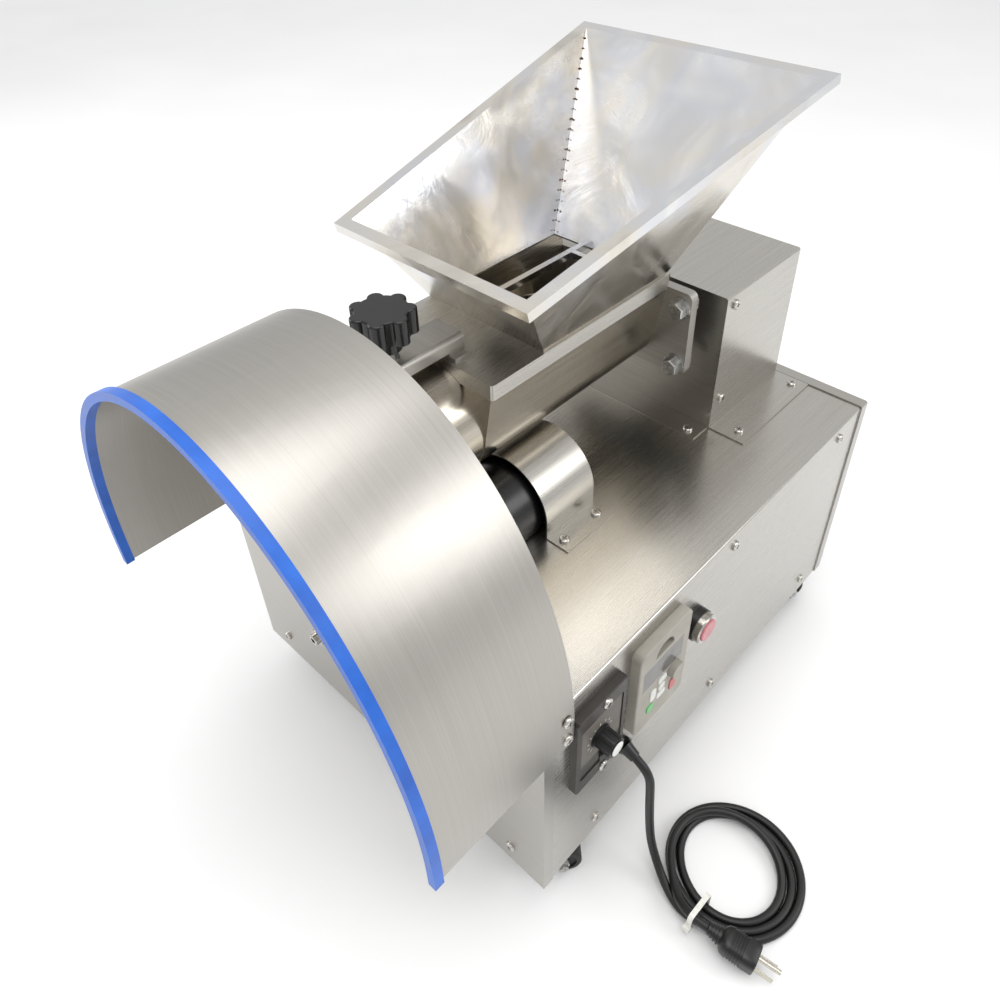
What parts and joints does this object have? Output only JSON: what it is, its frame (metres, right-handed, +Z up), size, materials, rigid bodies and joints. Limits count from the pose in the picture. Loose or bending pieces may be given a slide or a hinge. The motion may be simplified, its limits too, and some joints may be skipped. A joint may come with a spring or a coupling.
{
  "type": "dough portioning machine",
  "caption": "Counter-top portioner on swivel casters: sloped hopper, feed screw in a trough, nozzle, rotary cutter under a half-round guard, side controls and a coiled mains lead.",
  "frame": {"origin": "middle of the machine footprint on the floor, the mains lead left out", "axes": "+Y from the open cutter front to the drive housing at the back, +X to the side with the controls, +Z up"},
  "size_m": [0.617, 0.634, 0.6426],
  "materials": {
    "stainless": "brushed",
    "zinc_steel": "satin zinc plate",
    "bright_steel": "bright",
    "blue_trim": "semi-gloss moulded edge",
    "black_plastic": "satin",
    "wheel_rubber": "matte",
    "gear_case": "cast",
    "motor_paint": "satin",
    "bearing_block": "machined",
    "speed_plate_plastic": "matte",
    "keypad_plastic": "fine grain",
    "display_glass": "clear dark",
    "white_keys": "satin",
    "green_key": "satin",
    "red_key": "satin",
    "button_red": "translucent gloss",
    "cord_rubber": "satin",
    "tie_nylon": "satin nylon"
  },
  "bodies": {
    "machine": {"back_cover": "stainless", "base_shell": "stainless", "bottom_plate": "stainless", "button_bezel": "bright_steel", "button_collar": "black_plastic", "cable_gland": "black_plastic", "caster_plates": "zinc_steel", "cord_coil": "cord_rubber", "cord_tail": "cord_rubber", "cord_tie": "tie_nylon", "cutter_bearing": "bearing_block", "cutter_motor": "motor_paint", "cutter_motor_cover": "stainless", "drive_front_plate": "stainless", "drive_hood": "stainless", "drive_motor": "motor_paint", "flange_bolts": "zinc_steel", "front_bolt": "bright_steel", "front_cover": "stainless", "gear_reducer": "gear_case", "guard": "stainless", "guard_trim": "blue_trim", "keypad_case": "keypad_plastic", "keypad_window": "display_glass", "nozzle_neck": "stainless", "panel_screws": "bright_steel", "plug_blades": "zinc_steel", "plug_body": "cord_rubber", "power_cord": "cord_rubber", "speed_plate": "speed_plate_plastic", "trough": "stainless", "trough_flange": "stainless"},
    "hopper": {"hopper": "stainless", "hopper_lid": "stainless", "clamp_tab": "stainless"},
    "clamp": {"clamp_knob": "black_plastic", "clamp_stud": "zinc_steel"},
    "auger": {"auger": "stainless"},
    "cutter": {"cutter_shaft": "bright_steel", "cutter_blade": "stainless", "cutter_bolts": "bright_steel"},
    "speed_dial": {"speed_knob": "black_plastic"},
    "power_rocker": {"rocker": "black_plastic"},
    "menu_dial": {"keypad_dial": "black_plastic"},
    "push_button": {"button_cap": "button_red"},
    "key_up_body": {"key_up": "white_keys"},
    "key_enter_body": {"key_enter": "white_keys"},
    "key_down_body": {"key_down": "white_keys"},
    "key_left_body": {"key_left": "white_keys"},
    "key_run_body": {"key_run": "green_key"},
    "key_stop_body": {"key_stop": "red_key"},
    "fork_front_right": {"caster_fork_front_right": "zinc_steel"},
    "wheel_front_right": {"caster_wheel_front_right": "wheel_rubber"},
    "fork_front_left": {"caster_fork_front_left": "zinc_steel"},
    "wheel_front_left": {"caster_wheel_front_left": "wheel_rubber"},
    "fork_back_right": {"caster_fork_back_right": "zinc_steel"},
    "wheel_back_right": {"caster_wheel_back_right": "wheel_rubber"},
    "fork_back_left": {"caster_fork_back_left": "zinc_steel"},
    "wheel_back_left": {"caster_wheel_back_left": "wheel_rubber"}
  },
  "joints": [
    {"name": "hopper_lift", "type": "slide", "parent": "machine", "child": "hopper", "axis": [0, 0, 1], "range_m": [0, 0.15]},
    {"name": "clamp_turn", "type": "hinge", "parent": "hopper", "child": "clamp", "pos_m": [-0.00882, -0.14, 0.5], "axis": [0, 0, 1], "range_deg": [0, 720]},
    {"name": "auger_turn", "type": "hinge", "parent": "machine", "child": "auger", "pos_m": [-0.00882, 0.018, 0.424], "axis": [0, 1, 0], "continuous": true},
    {"name": "cutter_turn", "type": "hinge", "parent": "machine", "child": "cutter", "pos_m": [0.01518, -0.162, 0.342], "axis": [0, 1, 0], "continuous": true},
    {"name": "speed_turn", "type": "hinge", "parent": "machine", "child": "speed_dial", "pos_m": [0.20918, -0.141, 0.233], "axis": [1, 0, 0], "range_deg": [0, 270]},
    {"name": "rocker_tilt", "type": "hinge", "parent": "machine", "child": "power_rocker", "pos_m": [0.20518, -0.133, 0.198], "axis": [0, -1, 0], "range_deg": [0, 18]},
    {"name": "menu_turn", "type": "hinge", "parent": "machine", "child": "menu_dial", "pos_m": [0.20818, -0.0415, 0.222], "axis": [1, 0, 0], "range_deg": [0, 270]},
    {"name": "button_press", "type": "slide", "parent": "machine", "child": "push_button", "axis": [-1, 0, 0], "range_m": [0, 0.004], "stiffness_N_per_m": 600},
    {"name": "key_up_press", "type": "slide", "parent": "machine", "child": "key_up_body", "axis": [-1, 0, 0], "range_m": [0, 0.0008], "stiffness_N_per_m": 1200},
    {"name": "key_enter_press", "type": "slide", "parent": "machine", "child": "key_enter_body", "axis": [-1, 0, 0], "range_m": [0, 0.0008], "stiffness_N_per_m": 1200},
    {"name": "key_down_press", "type": "slide", "parent": "machine", "child": "key_down_body", "axis": [-1, 0, 0], "range_m": [0, 0.0008], "stiffness_N_per_m": 1200},
    {"name": "key_left_press", "type": "slide", "parent": "machine", "child": "key_left_body", "axis": [-1, 0, 0], "range_m": [0, 0.0008], "stiffness_N_per_m": 1200},
    {"name": "key_run_press", "type": "slide", "parent": "machine", "child": "key_run_body", "axis": [-1, 0, 0], "range_m": [0, 0.0008], "stiffness_N_per_m": 1200},
    {"name": "key_stop_press", "type": "slide", "parent": "machine", "child": "key_stop_body", "axis": [-1, 0, 0], "range_m": [0, 0.0008], "stiffness_N_per_m": 1200},
    {"name": "swivel_front_right", "type": "hinge", "parent": "machine", "child": "fork_front_right", "pos_m": [0.17218, -0.169, 0.042], "axis": [0, 0, 1], "continuous": true},
    {"name": "roll_front_right", "type": "hinge", "parent": "fork_front_right", "child": "wheel_front_right", "pos_m": [0.18491, -0.15627, 0.019], "axis": [-0.7071, 0.7071, 0], "continuous": true},
    {"name": "swivel_front_left", "type": "hinge", "parent": "machine", "child": "fork_front_left", "pos_m": [-0.18982, -0.169, 0.042], "axis": [0, 0, 1], "continuous": true},
    {"name": "roll_front_left", "type": "hinge", "parent": "fork_front_left", "child": "wheel_front_left", "pos_m": [-0.19882, -0.15341, 0.019], "axis": [-0.866, -0.5, 0], "continuous": true},
    {"name": "swivel_back_right", "type": "hinge", "parent": "machine", "child": "fork_back_right", "pos_m": [0.17218, 0.269, 0.042], "axis": [0, 0, 1], "continuous": true},
    {"name": "roll_back_right", "type": "hinge", "parent": "fork_back_right", "child": "wheel_back_right", "pos_m": [0.17979, 0.28531, 0.019], "axis": [-0.9063, 0.4226, 0], "continuous": true},
    {"name": "swivel_back_left", "type": "hinge", "parent": "machine", "child": "fork_back_left", "pos_m": [-0.18982, 0.269, 0.042], "axis": [0, 0, 1], "continuous": true},
    {"name": "roll_back_left", "type": "hinge", "parent": "fork_back_left", "child": "wheel_back_left", "pos_m": [-0.19294, 0.28673, 0.019], "axis": [-0.9848, -0.1736, 0], "continuous": true}
  ]
}
